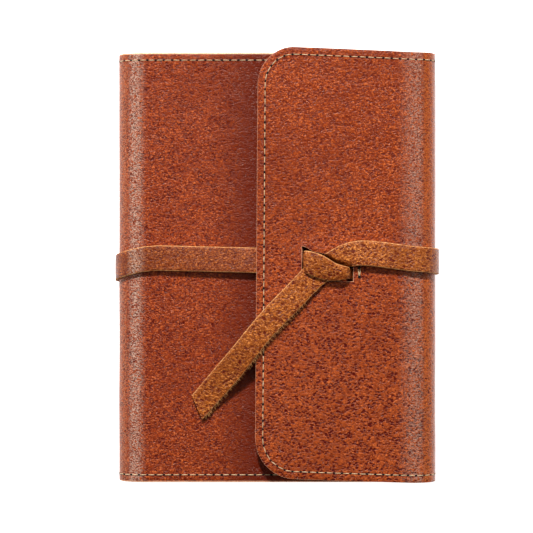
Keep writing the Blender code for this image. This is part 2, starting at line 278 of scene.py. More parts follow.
def ribbon(name, frames, looks, thickness=STRAP, rough_edge=0.12, crown=0.12, seed=0.0):
    """A strap through frames of (centre of its underside, side direction, up direction, half width)."""
    shape = bmesh.new()
    rows = []
    for index, (centre, side, up, half) in enumerate(frames):
        c, side, up = Vector(centre), Vector(side).normalized(), Vector(up).normalized()
        ring = []
        for a, b in strap_outline(half, thickness):
            if b > thickness - 0.01:
                b += crown * (1 - (a / half)**2)
            if abs(a) > half * 0.9:
                a += rough_edge * noise.noise(Vector((index * 0.9, math.copysign(3, a), seed)))
            ring.append(shape.verts.new((c + side * a + up * b) * MM))
        rows.append(ring)
    count = len(rows[0])
    for here, there in zip(rows, rows[1:]):
        for k in range(count):
            after = (k + 1) % count
            face = shape.faces.new((here[k], here[after], there[after], there[k]))
            if k in CUT_FACES:
                face.material_index = CUT
            elif k in FLESH_FACES:
                face.material_index = FLESH
    for ring in (rows[0], rows[-1][::-1]):
        face = shape.faces.new(ring)
        face.material_index = CUT
    bmesh.ops.recalc_face_normals(shape, faces=shape.faces[:])
    return smooth(finish_mesh(name, shape, looks), 50.0)


# ---------------------------------------------------------------- materials

# Repeats per metre of each layer of the grain, and lengths in metres.
WARP_SCALE, WARP_SIZE = 700.0, 0.0022
GRAIN_STRETCH = (0.80, 1.2, 1.0)
STRENGTH_SCALE, RIDGE_SCALE, BLOTCH_SCALE = 190.0, 1300.0, 28.0
GLINT_SCALE, WRINKLE_SCALE, FIBRE_BLOTCH_SCALE = 1500.0, 110.0, 90.0
GRAIN_DEPTH, FIBRE_DEPTH = 0.00024, 0.0002
CREASE_SIZE = 1.7
SHEEN = 0.25
SHEEN_TINT = (1.0, 0.9, 0.82, 1.0)
# What is left of the leather's middle colour in its troughs, in its blotches and in the painted shade beside
# the flap.
TROUGH_SHARE, BLOTCH_SHARE, SHADED_SHARES = 0.42, 0.7, (0.42, 0.30, 0.35)

def nodes_of(name):
    made = bpy.data.materials.new(name)
    made.use_nodes = True
    tree = made.node_tree
    return made, tree, tree.nodes["Principled BSDF"]


def maths(tree, operation, a, b=None, clamp=False):
    node = tree.nodes.new("ShaderNodeMath")
    node.operation = operation
    node.use_clamp = clamp
    for socket, value in zip(node.inputs, (a, b)):
        if value is None:
            continue
        if isinstance(value, (int, float)):
            socket.default_value = value
        else:
            tree.links.new(value, socket)
    return node.outputs[0]


def mixed(tree, share, a, b):
    node = tree.nodes.new("ShaderNodeMix")
    node.data_type = "RGBA"
    for socket, value in ((node.inputs[0], share), (node.inputs[6], a), (node.inputs[7], b)):
        if isinstance(value, (int, float)):
            socket.default_value = value
        elif isinstance(value, tuple):
            socket.default_value = (*value, 1.0)
        else:
            tree.links.new(value, socket)
    return node.outputs[2]


def ramp(tree, source, low, high, out_low=0.0, out_high=1.0):
    node = tree.nodes.new("ShaderNodeMapRange")
    node.interpolation_type = "SMOOTHSTEP"
    tree.links.new(source, node.inputs[0])
    for socket, value in zip(node.inputs[1:5], (low, high, out_low, out_high)):
        socket.default_value = value
    return node.outputs[0]


def noise_of(tree, where, scale, detail=3.0, rough=0.55):
    node = tree.nodes.new("ShaderNodeTexNoise")
    node.inputs["Scale"].default_value = scale
    node.inputs["Detail"].default_value = detail
    node.inputs["Roughness"].default_value = rough
    tree.links.new(where, node.inputs["Vector"])
    return node


def raise_surface(tree, shader, height, strength, depth):
    lump = tree.nodes.new("ShaderNodeBump")
    lump.inputs["Strength"].default_value = strength
    lump.inputs["Distance"].default_value = depth
    tree.links.new(height, lump.inputs["Height"])
    tree.links.new(lump.outputs[0], shader.inputs["Normal"])


def pebbled(name, deep, mid, light, cell=2.0, contrast=1.0, bump=0.5, roughness=0.26, coarse_low_painted_light=False,
            shaded=None, painted_light=()):
    """Grained leather: dark red pits and short creases between lighter ridges, with blotches.

    A flag makes the grain stronger towards the foot and lightens its colour there, which is painted light
    against the key lamp's falloff. shaded darkens the front cover beside the flap: painted shade. Each band
    lightens a strip along X: a painted highlight on a rounded fold, or painted light on an edge that faces a
    side lamp. All are painted: they hold still when the light moves.
    """
    made, tree, shader = nodes_of(name)
    place = tree.nodes.new("ShaderNodeTexCoord").outputs["Object"]
    apart = tree.nodes.new("ShaderNodeSeparateXYZ")
    tree.links.new(place, apart.inputs[0])
    at_x, at_y, at_z = apart.outputs
    wide = tree.nodes.new("ShaderNodeVectorMath")
    wide.operation = "MULTIPLY"
    wide.inputs[1].default_value = GRAIN_STRETCH
    tree.links.new(place, wide.inputs[0])
    shifted = tree.nodes.new("ShaderNodeVectorMath")
    shifted.operation = "MULTIPLY_ADD"
    tree.links.new(noise_of(tree, place, WARP_SCALE, 2.0).outputs["Color"], shifted.inputs[0])
    shifted.inputs[1].default_value = (WARP_SIZE, WARP_SIZE, WARP_SIZE)
    tree.links.new(wide.outputs[0], shifted.inputs[2])
    where = shifted.outputs[0]

    def cells(size, feature):
        node = tree.nodes.new("ShaderNodeTexVoronoi")
        node.feature = feature
        node.inputs["Scale"].default_value = 1000.0 / size
        tree.links.new(where, node.inputs["Vector"])
        return node.outputs["Distance"]

    pits = ramp(tree, cells(cell, "F1"), 0.58, 0.28)
    creases = ramp(tree, cells(cell * CREASE_SIZE, "DISTANCE_TO_EDGE"), 0.10, 0.0, 0.0, 0.6)
    strength = ramp(tree, noise_of(tree, place, STRENGTH_SCALE, 3.0, 0.6).outputs[0], 0.35, 0.62, 0.5, 1.0)
    hollow = maths(tree, "MULTIPLY", maths(tree, "MAXIMUM", pits, creases), strength)
    ridges = noise_of(tree, where, RIDGE_SCALE, 3.0, 0.7).outputs[0]
    blotch = noise_of(tree, place, BLOTCH_SCALE, 4.0, 0.6).outputs[0]
    trough_colour = tuple(c * TROUGH_SHARE for c in mid)
    blotch_colour = tuple(c * BLOTCH_SHARE for c in mid)
    body = mixed(tree, ramp(tree, ridges, 0.51, 0.62), mid, light)
    body = mixed(tree, ramp(tree, ridges, 0.49, 0.40, 0.0, 0.9), body, trough_colour)
    body = mixed(tree, ramp(tree, blotch, 0.38, 0.72, 0.0, 0.5), body, blotch_colour)
    if coarse_low_painted_light:
        hollow = maths(tree, "MULTIPLY", hollow, ramp(tree, at_y, 0.09, -0.07, 0.7, 1.15))
        # Painted light: the colour is lightened towards the foot, making up for the key lamp's falloff.
        body = mixed(tree, ramp(tree, at_y, 0.09, -0.08, 0.0, 0.17), body, light)
    colour = mixed(tree, maths(tree, "MULTIPLY", hollow, contrast, clamp=True), body, deep)
    if shaded:
        start, full, amount = shaded
        across = ramp(tree, at_x, start, full, 0.0, amount)
        across = maths(tree, "MULTIPLY", across, ramp(tree, at_x, -0.006, 0.010, 1.0, 0.0))
        on_top = ramp(tree, at_z, 0.015, 0.018)
        shaded_colour = tuple(c * share for c, share in zip(mid, SHADED_SHARES))
        colour = mixed(tree, maths(tree, "MULTIPLY", across, on_top), colour, shaded_colour)
    # Each band paints a highlight, or a side lamp's light, along X, broken up into painted glints.
    for start, full, still, end, amount, pale in painted_light:
        fading = ramp(tree, at_x, still, end, amount, 0.0)
        band = maths(tree, "MULTIPLY", ramp(tree, at_x, start, full), fading)
        glints = ramp(tree, noise_of(tree, where, GLINT_SCALE, 2.0, 0.6).outputs[0], 0.44, 0.60)
        colour = mixed(tree, maths(tree, "MULTIPLY", band, glints), colour, pale)
    tree.links.new(colour, shader.inputs["Base Color"])
    gloss = ramp(tree, ridges, 0.35, 0.7, roughness + 0.06, roughness - 0.03)
    tree.links.new(gloss, shader.inputs["Roughness"])
    wrinkle = noise_of(tree, place, WRINKLE_SCALE, 4.0, 0.6).outputs[0]
    sunk = maths(tree, "MULTIPLY", hollow, 0.8)
    height = maths(tree, "SUBTRACT", maths(tree, "MULTIPLY", ridges, 0.7), sunk)
    height = maths(tree, "ADD", height, maths(tree, "MULTIPLY", wrinkle, 1.6))
    raise_surface(tree, shader, height, bump, GRAIN_DEPTH)
    shader.inputs["Specular IOR Level"].default_value = SHEEN
    shader.inputs["Specular Tint"].default_value = SHEEN_TINT
    return made


def fibrous(name, dark, light, scale=900.0, bump=0.5, stretch=(1.0, 1.0, 1.0)):
    """Raw cut leather, suede or board: short fibres with no shine."""
    made, tree, shader = nodes_of(name)
    place = tree.nodes.new("ShaderNodeTexCoord").outputs["Object"]
    squeeze = tree.nodes.new("ShaderNodeVectorMath")
    squeeze.operation = "MULTIPLY"
    tree.links.new(place, squeeze.inputs[0])
    squeeze.inputs[1].default_value = stretch
    fibres = noise_of(tree, squeeze.outputs[0], scale, 5.0, 0.7).outputs[0]
    blotch = noise_of(tree, place, FIBRE_BLOTCH_SCALE, 3.0).outputs[0]
    colour = mixed(tree, ramp(tree, fibres, 0.34, 0.66), dark, light)
    colour = mixed(tree, ramp(tree, blotch, 0.35, 0.7, 0.0, 0.4), colour, dark)
    tree.links.new(colour, shader.inputs["Base Color"])
    tree.links.new(ramp(tree, fibres, 0.3, 0.7, 0.95, 0.8), shader.inputs["Roughness"])
    raise_surface(tree, shader, fibres, bump, FIBRE_DEPTH)
    shader.inputs["Specular IOR Level"].default_value = SHEEN
    return made


# The pale colour is a painted highlight. The warm colours are painted light from the side lamps.
HIGHLIGHT_PALE = (0.52, 0.37, 0.28)
SIDE_LIT_WARM = (0.45, 0.105, 0.014)
# Painted light along X: painted highlights on the rounded fold and spine, and painted light on the edges that
# face the side lamps. X where each starts, is full, begins to fade and ends, in metres, then strength and
# colour.
FOLD_HIGHLIGHT_BAND = (0.0600, 0.0710, 0.0725, 0.0765, 0.38, HIGHLIGHT_PALE)
FORE_EDGE_LIT_BAND = (0.0735, 0.0765, 0.0900, 0.0950, 0.8, SIDE_LIT_WARM)
SPINE_HIGHLIGHT_BAND = (-0.0775, -0.0738, -0.0728, -0.0665, 0.72, HIGHLIGHT_PALE)
SPINE_SIDE_LIT_BAND = (-0.0860, -0.0830, -0.0785, -0.0755, 0.6, (0.46, 0.17, 0.075))
# Painted shade beside the flap: X where it starts and is full, in metres, and its strength.
FLAP_SHADE = (-0.038, -0.009, 0.95)

FLAP_LOOK = pebbled("flap grain leather",
                    (0.075, 0.002, 0.001), (0.240, 0.027, 0.003), (0.60, 0.138, 0.032),
                    cell=1.5, contrast=1.05, bump=0.9, coarse_low_painted_light=True, painted_light=(FOLD_HIGHLIGHT_BAND, FORE_EDGE_LIT_BAND))
COVER_LOOK = pebbled("cover grain leather",
                     (0.075, 0.003, 0.001), (0.245, 0.027, 0.003), (0.56, 0.130, 0.034),
                     cell=1.2, contrast=1.0, bump=0.8, shaded=FLAP_SHADE,
                     painted_light=(SPINE_HIGHLIGHT_BAND, SPINE_SIDE_LIT_BAND, FORE_EDGE_LIT_BAND))
STRAP_LOOK = pebbled("strap leather", (0.10, 0.008, 0.002), (0.31, 0.068, 0.007), (0.72, 0.260, 0.060),
                     cell=1.6, contrast=1.0, bump=0.9)
STRAP_DARK = pebbled("strap front leather", (0.075, 0.005, 0.002), (0.21, 0.034, 0.004), (0.50, 0.155, 0.040),
                     cell=1.2, contrast=0.9, bump=0.8, painted_light=(SPINE_HIGHLIGHT_BAND,))
# The cut edge is paler than the grain. How pale its border on the tops is, is partly painted highlight on the
# rolled edge.
RAW_EDGE_AND_HIGHLIGHT_LOOK = fibrous("raw edge", (0.60, 0.25, 0.13), (0.88, 0.52, 0.32))
STRAP_EDGE = fibrous("strap raw edge", (0.26, 0.075, 0.018), (0.66, 0.32, 0.11))
SUEDE_LOOK = fibrous("suede lining", (0.20, 0.09, 0.04), (0.34, 0.17, 0.085), 700.0)
STRAP_BACK = fibrous("strap flesh side", (0.20, 0.08, 0.03), (0.38, 0.18, 0.08), 600.0)
THREAD_LOOK = fibrous("waxed thread", (0.42, 0.28, 0.13), (0.78, 0.62, 0.40), 2200.0)
# Needle holes are near-black capsules: painted shade standing for the dark inside of each hole.
NEEDLE_HOLE_SHADE_LOOK = fibrous("needle hole", (0.003, 0.002, 0.002), (0.010, 0.006, 0.004), 1500.0)
PAGE_LOOK = fibrous("page edges", (0.70, 0.64, 0.52), (0.86, 0.82, 0.71), 260.0, 0.15, (0.25, 0.25, 18.0))
BOARD_LOOK = fibrous("bookcloth board", (0.012, 0.010, 0.009), (0.035, 0.03, 0.028), 1400.0)


# ---------------------------------------------------------------- leather skins

def even_rows(step=2.4):
    count = round(2 * HALF_Y / step)
    ys = [FOOT + 2 * HALF_Y * i / count for i in range(count + 1)]
    return lambda x, z: ys


WINDOW_SHARES = [(y - MID_Y) / HALF_Y for y in WINDOW_Y]


def row_shares(step=2.0):
    """Rows across the flap from foot to head, with one on each side of the window."""
    edges = [-1.0, *WINDOW_SHARES, 1.0]
    shares = []
    for lo, hi in zip(edges, edges[1:]):
        count = max(2, round((hi - lo) * HALF_Y / step))
        shares += [lo + (hi - lo) * i / count for i in range(count)]
    return shares + [1.0]


FLAP_SHARES = row_shares()


# X along the window, and how far its upper edge is drawn down there.
SAG_X = (13.2, 15.4, 16.8, 19.5, 23.0, 27.0, 32.0, 40.0, 50.0)
SAG_DOWN = (0.3, 0.9, 2.5, 3.4, 4.0, 4.8, 5.0, 4.3, 0.0)
SAG_REACH = 6.5


def window_sag(x, y):
    """The window's upper edge is drawn down over the keeper, right of its open corner."""
    down = float(np.interp(x, SAG_X, SAG_DOWN))
    return down * math.exp(-((y - WINDOW_Y[1]) / SAG_REACH) ** 2)


def flap_rows():
    def rows(x, z):
        ys = [MID_Y + s * flap_half(x) + flap_shift(x, s) for s in FLAP_SHARES]
        return [y - window_sag(x, y) for y in ys] if z > UPPER_Z else ys
    return rows


def flap_slide(x, y):
    """The free edge leans: its head end is nearer the fore edge than its foot end."""
    near = min(1.0, max(0.0, (12.0 - x) / 20.0))
    return near * (0.75 + 0.75 * (y - MID_Y) / HALF_Y)


def flap_columns():
    """The flap's path with a station on each side of the window and closer ones round its corners."""
    stations = [s for s in FLAP_PATH if s[0] > FLAP_X + CORNER + 1.0]
    stations = [s for s in stations if min(abs(s[0] - x) for x in WINDOW_X) > 0.7]
    corners = [FLAP_X + CORNER * (1 - math.sin(math.radians(a))) for a in range(0, 91, 5)]
    for x in [*WINDOW_X, *corners]:
        n = Vector((flap_slope(x), 1.0)).normalized()
        stations.append((x, flap_z(x), n.x, n.y))
    high = [s for s in stations if s[0] < 60.0]
    low = [s for s in stations if s[0] >= 60.0]
    return low + sorted(high, key=lambda s: -s[0])


def window(a, b, row):
    """Whether the face between two stations, in this row, is left out for the window."""
    x = (a[0] + b[0]) / 2
    share = (FLAP_SHARES[row] + FLAP_SHARES[row + 1]) / 2
    in_height = WINDOW_SHARES[0] < share < WINDOW_SHARES[1]
    return WINDOW_X[0] < x < WINDOW_X[1] and in_height and a[1] > UPPER_Z


def window_lip(x, y, z):
    """The leather is pulled up a little round the window, most at its upper left corner."""
    if z < UPPER_Z:
        return 0.0
    dx = max(WINDOW_X[0] - x, 0.0, x - WINDOW_X[1])
    dy = max(WINDOW_Y[0] - y, 0.0, y - WINDOW_Y[1])
    d = math.hypot(dx, dy)
    corner = math.exp(-math.hypot(x - WINDOW_X[0], y - 4.0) / 8.0)
    return math.exp(-d / 1.8) * (0.2 + 1.0 * corner)


def heal_join(made, x, z):
    """Where two sheets of one leather meet, the cut edge wears the grain rather than the raw edge."""
    for face in made.data.polygons:
        centre = face.center / MM
        across = abs(centre.y - MID_Y) < HALF_Y - 1.3
        if face.material_index == CUT and across and math.hypot(centre.x - x, centre.z - z) < 2.6:
            face.material_index = GRAIN


def front_like(piece):
    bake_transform(piece)


def fold_like(piece):
    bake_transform(piece)


def flap_like(piece):
    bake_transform(piece)


LEATHER_LOOKS = [COVER_LOOK, RAW_EDGE_AND_HIGHLIGHT_LOOK, SUEDE_LOOK]
FLAP_LOOKS = [FLAP_LOOK, RAW_EDGE_AND_HIGHLIGHT_LOOK, SUEDE_LOOK]
LINING_LOOKS = [SUEDE_LOOK, RAW_EDGE_AND_HIGHLIGHT_LOOK, SUEDE_LOOK]
LINING_DEPTH = LEATHER + 0.05
LINING_STEP = 5.0
LINING_BEVEL = 0.15

front_skin = skin("front_spine_leather_skin", FRONT_PATH, even_rows(), LEATHER, 0.0, LEATHER_LOOKS,
                  ripple=0.12)
heal_join(front_skin, *FRONT_PATH[-1][:2])
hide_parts("front_cover_leather", "spine_leather")
front_like(front_skin)
front_liner = skin("front_spine_lining_skin", FRONT_PATH, even_rows(LINING_STEP), LINING, LINING_DEPTH,
                   LINING_LOOKS, bevel=LINING_BEVEL)
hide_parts("front_cover_lining", "spine_lining")
front_like(front_liner)
back_skin = skin("back_fore_edge_leather_skin", BACK_PATH, even_rows(), LEATHER, 0.0, LEATHER_LOOKS,
                 ripple=0.12)
for end in (0, -1):
    heal_join(back_skin, *BACK_PATH[end][:2])
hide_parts("back_cover_leather", "fore_edge_leather")
fold_like(back_skin)
back_liner = skin("back_fore_edge_lining_skin", BACK_PATH, even_rows(LINING_STEP), LINING, LINING_DEPTH,
                  LINING_LOOKS, bevel=LINING_BEVEL)
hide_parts("back_cover_lining", "fore_edge_lining")
fold_like(back_liner)
FLAP_STATIONS = flap_columns()
flap_skin = skin("flap_leather_skin", FLAP_STATIONS, flap_rows(), LEATHER, 0.0, FLAP_LOOKS,
                 hole=window, ripple=0.15, lift=window_lip, slide=flap_slide, bevel=1.1)
heal_join(flap_skin, *FLAP_STATIONS[0][:2])
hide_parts("flap_leather")
flap_like(flap_skin)
flap_liner = skin("flap_lining_skin", FLAP_STATIONS, flap_rows(), LINING, LINING_DEPTH, LINING_LOOKS,
                  hole=window, ripple=0.15, lift=window_lip, slide=flap_slide, bevel=LINING_BEVEL)
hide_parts("flap_lining")
flap_like(flap_liner)


# ---------------------------------------------------------------- strap

STRAP_LOOKS = [STRAP_LOOK, STRAP_EDGE, STRAP_BACK]
STRAP_DARKER = [STRAP_DARK, STRAP_EDGE, STRAP_BACK]
HALF_STRAP = 6.5
# How far the strap's underside stands off the leather it lies on.
TOUCH = 0.12


def on_path(stations, heights, half=HALF_STRAP, edge_lift=None, touch=TOUCH):
    """Frames of a strap that follows the cover's outside. heights gives the centre's Y at each station."""
    frames = []
    for (x, z, nx, nz), y in zip(stations, heights):
        lift = edge_lift(x, z) if edge_lift else 0.0
        up = Vector((nx, 0, nz))
        across = Vector((0, 2 * half, 0)) - up * lift
        tilt_up = Vector((up.x, lift / (2 * half), up.z))
        centre = Vector((x, y, z)) + up * (touch + lift / 2)
        frames.append((centre, across, tilt_up, half))
    return frames


def by_length(stations, keys):
    """Values at every station, from values at given shares of the way."""
    s = running(math.dist(a[:2], b[:2]) for a, b in zip(stations, stations[1:]))
    return [float(np.interp(v / s[-1], [k[0] for k in keys], [k[1] for k in keys])) for v in s]


def front_lift(x, z):
    """The strap's foot side stands off the cover, more towards the flap."""
    return 0.15 + 1.35 * min(1.0, max(0.0, (x + 70.0) / 60.0)) if z > 19 else 0.0


# The centre's Y at shares of the way, for each run of the strap.
FRONT_HEIGHTS = ((0.0, 1.85), (0.38, 3.6), (0.425, 2.9), (0.475, 0.6), (0.53, -2.0), (0.58, -2.7),
                 (1.0, -1.4))
BACK_HEIGHTS = ((0.0, -1.4), (0.78, 0.3), (1.0, 1.8))
OVER_HEIGHTS = ((0.0, 1.8), (0.5, 2.5), (1.0, 3.3))

# The front run starts under the flap, goes round the spine and carries on under the cover.
strap_front_path = [s for s in FRONT_PATH if s[0] <= 9.0 or s[1] < 12]
heights = by_length(strap_front_path, FRONT_HEIGHTS)
front_frames = on_path(strap_front_path, heights, edge_lift=front_lift)
strap_a = ribbon("strap_front_and_spine", front_frames, STRAP_DARKER, seed=1.0)
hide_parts("strap_front_run", "strap_spine_run")
front_like(strap_a)
heights = by_length(BACK_PATH, BACK_HEIGHTS)
strap_b = ribbon("strap_back_and_fore_edge", on_path(BACK_PATH, heights), STRAP_DARKER, seed=2.0)
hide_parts("strap_back_run", "strap_fore_edge_run")
fold_like(strap_b)


def in_plan(points, half_at, lift_at, step=0.6, reach=0.6):
    """Frames of a strap over the flap along a curve of X and Y.

    At a share of the way, half_at gives its half width and lift_at the heights of its sides above the flap.
    """
    dense = smooth_curve([Vector(p) for p in points], 16)
    s = running((b - a).length for a, b in zip(dense, dense[1:]))
    count = round(s[-1] / step)
    xs, ys = [p.x for p in dense], [p.y for p in dense]

    def at(v):
        return Vector((np.interp(v, s, xs), np.interp(v, s, ys)))

    frames = []
    for i in range(count + 1):
        v = s[-1] * i / count
        c = at(v)
        way = (at(min(s[-1], v + reach)) - at(max(0, v - reach))).normalized()
        side = Vector((way.y, -way.x))
        half = half_at(v / s[-1])
        a, b = c - side * half, c + side * half
        low_a, low_b = lift_at(v / s[-1])
        za, zb = flap_z(a.x) + low_a, flap_z(b.x) + low_b
        tilt = (zb - za) / (2 * half)
        up = Vector((-side.x * tilt, -side.y * tilt, 1.0))
        frames.append((Vector((c.x, c.y, (za + zb) / 2)), Vector((side.x, side.y, tilt)), up, half))
    return frames


# The strap's run over the flap: along the path to where it is flat, then in plan to the keeper and under it.
over_path = [s for s in FLAP_PATH if s[0] > 66.0]


def over_lift(x, z):
    return 0.0 if z < UPPER_Z else 0.85 * min(1.0, (z - UPPER_Z) / 4)


over_bend = on_path(over_path, by_length(over_path, OVER_HEIGHTS), edge_lift=over_lift)


# The keeper, from left to right: X and Z of its upper side, then its lowest and highest Y.
KEEPER = (
    (9.4, 22.6, -4.0, 7.0), (11.0, 22.6, -4.0, 7.0), (12.9, 23.0, -3.8, 7.2), (13.7, 24.8, -3.7, 7.2),
    (13.6, 27.4, -3.9, 7.3), (14.3, 29.2, -4.2, 7.3), (16.4, 30.1, -5.0, 7.1), (19.5, 30.25, -6.2, 6.4),
    (23.0, 30.2, -7.3, 5.2), (26.5, 30.1, -7.8, 3.2), (29.5, 30.0, -7.8, 1.3), (32.5, 29.85, -7.6, 0.2),
    (34.8, 29.4, -7.3, -0.4), (36.4, 28.1, -6.9, -0.9), (37.0, 26.0, -6.9, -1.4), (37.1, 24.4, -6.9, -1.9),
    (38.6, 22.8, -7.0, -2.2), (42.0, 22.6, -7.2, -2.2), (45.0, 22.6, -7.2, -2.2),
)
KEEPER_TOP = [k for k in KEEPER if k[1] > 27.0]
# How far the strap sinks into the window beneath the keeper.
SINK = 3.4


def smooth_step(value):
    value = min(1.0, max(0.0, value))
    return value * value * (3 - 2 * value)


def under_keeper(x, y):
    """How far the strap drops into the window: sharply at the keeper's upper edge, then up again."""
    xs = [k[0] for k in KEEPER_TOP]
    low = float(np.interp(x, xs, [k[2] for k in KEEPER_TOP]))
    high = float(np.interp(x, xs, [k[3] for k in KEEPER_TOP]))
    inside = smooth_step((38.4 - x) / 1.0) * smooth_step((x - 15.5) / 4.0)
    head_side, foot_side = smooth_step((high + 1.5 - y) / 1.3), smooth_step((y - low - 1.5) / 3.5)
    return SINK * inside * head_side * foot_side


def over_sides(t):
    """Heights of the strap's foot side, which stands off the flap, and of its head side."""
    foot_side = 0.14 + 1.25 * math.exp(-((t - 0.30) / 0.26)**2)
    head_side = 0.14 + 0.45 * math.exp(-((t - 0.5) / 0.12)**2)
    return foot_side, head_side


def over_half(t):
    """The strap is squeezed a little where it turns."""
    return HALF_STRAP - 0.5 * math.exp(-((t - 0.62) / 0.16)**2)


TURN = ((72.0, 2.8), (64.5, 3.75), (57.0, 4.7), (48.0, 5.75), (40.0, 5.9), (33.0, 3.9), (27.0, 0.2),
        (22.0, -2.9), (18.0, -6.0), (14.9, -9.3), (12.0, -12.6))
over = in_plan(TURN, over_half, over_sides)
strap_c = ribbon("strap_over_flap_run", over_bend + over, STRAP_LOOKS, seed=3.0)
for vert in strap_c.data.vertices:
    vert.co.z -= under_keeper(vert.co.x / MM, vert.co.y / MM) * MM
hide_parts("strap_over_flap")
flap_like(strap_c)


# ---------------------------------------------------------------- strap tail

TAIL_START = Vector((14.9, -9.3))
TAIL_WAY = Vector((-0.6601, -0.7512))
TAIL_SIDE = Vector((TAIL_WAY.y, -TAIL_WAY.x))
TAIL_LENGTH = 84.6
TAIL_FRAMES = 145
# It lies on the flap for TAIL_RESTING, then sinks to TAIL_TIP_Z over TAIL_SINKING.
TAIL_RESTING, TAIL_SINKING, TAIL_TIP_Z = 40.0, 44.0, 20.85
# From TAIL_SLANT_FROM on, and over TAIL_SLANT_OVER, the end is cut aslant.
TAIL_SLANT_FROM, TAIL_SLANT_OVER, TAIL_SLANT = 74.0, 10.6, 0.48
FIBRES = 190
FIBRE_ROOT = 6.1
FIBRE_HALF_WIDTH = 0.22


def tail_height(d):
    """Height of the tail's underside at a distance along it."""
    on_flap = flap_z(max(FLAP_X, TAIL_START.x + TAIL_WAY.x * d)) + 0.14 + 0.5 * min(1.0, d / 25.0)
    if d < TAIL_RESTING:
        return on_flap
    t = min(1.0, (d - TAIL_RESTING) / TAIL_SINKING)
    return on_flap + (TAIL_TIP_Z - on_flap) * (t * t * (3 - 2 * t)) ** 0.85


def tail_bow(d):
    """How far the tail curves aside at a distance along it."""
    return 1.35 * math.exp(-((d - 30.0) / 20.0)**2)


def tail_frames():
    frames = []
    for i in range(TAIL_FRAMES):
        d = TAIL_LENGTH * i / (TAIL_FRAMES - 1)
        c = TAIL_START + TAIL_WAY * d
        c = c + TAIL_SIDE * tail_bow(d)
        behind, ahead = max(0, d - 1), min(TAIL_LENGTH, d + 1)
        slope = (tail_height(ahead) - tail_height(behind)) / (ahead - behind)
        up = Vector((-TAIL_WAY.x * slope, -TAIL_WAY.y * slope, 1.0)).normalized()
        roll = 0.05 * math.sin(math.pi * d / TAIL_LENGTH)
        side = Vector((TAIL_SIDE.x, TAIL_SIDE.y, roll))
        half = 6.35 + 0.15 * math.sin(d * 0.13)
        frames.append((Vector((c.x, c.y, tail_height(d))), -side, up, half))
    return frames


def add_fibres(made):
    """Short loose fibres, each a thin closed spike, along the tail's foot side."""
    shape = bmesh.new()
    shape.from_mesh(made.data)
    for _ in range(FIBRES):
        d = random.uniform(8.0, 83.0)
        z = tail_height(d) + random.uniform(0.5, 1.6)
        root = TAIL_START + TAIL_WAY * d + TAIL_SIDE * (tail_bow(d) - FIBRE_ROOT)
        tip = root - TAIL_SIDE * random.uniform(0.9, 2.2) + TAIL_WAY * random.uniform(-0.6, 0.9)
        beside = TAIL_WAY * FIBRE_HALF_WIDTH
        ends = [Vector((*(root - beside), z)), Vector((*(root + beside), z)),
                Vector((*root, z + 0.3)), Vector((*tip, z + random.uniform(-0.4, 0.3)))]
        a, b, c, e = [shape.verts.new(v * MM) for v in ends]
        for corners in ((a, c, b), (a, b, e), (b, c, e), (c, a, e)):
            shape.faces.new(corners).material_index = CUT
    shape.to_mesh(made.data)
    shape.free()


def slant_end(made):
    for vert in made.data.vertices:
        along = (Vector(vert.co.xy) / MM - TAIL_START).dot(TAIL_WAY)
        lateral = (Vector(vert.co.xy) / MM - TAIL_START).dot(-TAIL_SIDE)
        share = max(0.0, (along - TAIL_SLANT_FROM) / TAIL_SLANT_OVER)
        vert.co += Vector((*(TAIL_WAY * (lateral * TAIL_SLANT * share)), 0.0)) * MM


tail = ribbon("strap_tail_end", tail_frames(), STRAP_LOOKS, rough_edge=0.45, seed=4.0)
add_fibres(tail)
slant_end(tail)
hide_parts("strap_tail")
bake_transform(tail)


# ---------------------------------------------------------------- keeper

def keeper_frames():
    points = [Vector(k) for k in KEEPER]
    dense = smooth_curve([points[0] * 2 - points[1], *points, points[-1] * 2 - points[-2]], 4)
    frames = []
    for i, p in enumerate(dense):
        a, b = dense[max(0, i - 1)], dense[min(len(dense) - 1, i + 1)]
        way = Vector((b[0] - a[0], b[1] - a[1])).normalized()
        up = Vector((-way.y, 0, way.x))
        low, high = p[2], p[3]
        centre = Vector((p[0], (low + high) / 2, p[1])) - up * STRAP
        rolled = 0.17 * math.exp(-((p[0] - 27.0) / 9.0)**2)
        side = Vector((0, 1, rolled))
        frames.append((centre, side, up + Vector((0, -rolled * up.z, 0)), (high - low) / 2))
    return frames


keeper = ribbon("strap_keeper_loop", keeper_frames(), STRAP_LOOKS, rough_edge=0.15, crown=0.5, seed=5.0)
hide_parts("strap_keeper")
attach(keeper, "flap")


# ---------------------------------------------------------------- stitching

def bead(shape, centre, way, up, length, width, height, index, rings=6):
    """A closed drop of thread or a needle hole: a flattened capsule, half sunk in the leather. A hole's
    capsule is
    near black: painted shade for the inside of the hole.
    """
    way, up = Vector(way).normalized(), Vector(up).normalized()
    side = up.cross(way)
    c = Vector(centre)
    ends = [shape.verts.new((c - way * length / 2) * MM), shape.verts.new((c + way * length / 2) * MM)]
    loops = []
    for t in (-0.86, -0.45, 0.0, 0.45, 0.86):
        r = (1 - t * t) ** 0.4
        ring = []
        for k in range(rings):
            a = 2 * math.pi * k / rings
            across = side * (math.cos(a) * r * width / 2)
            outward = up * (math.sin(a) * r * height / 2)
            ring.append(shape.verts.new((c + way * (t * length / 2) + across + outward) * MM))
        loops.append(ring)
    made = []
    for k in range(rings):
        after = (k + 1) % rings
        made.append(shape.faces.new((ends[0], loops[0][after], loops[0][k])))
        made.append(shape.faces.new((ends[1], loops[-1][k], loops[-1][after])))
        for here, there in zip(loops, loops[1:]):
            made.append(shape.faces.new((here[k], here[after], there[after], there[k])))
    for face in made:
        face.material_index = index


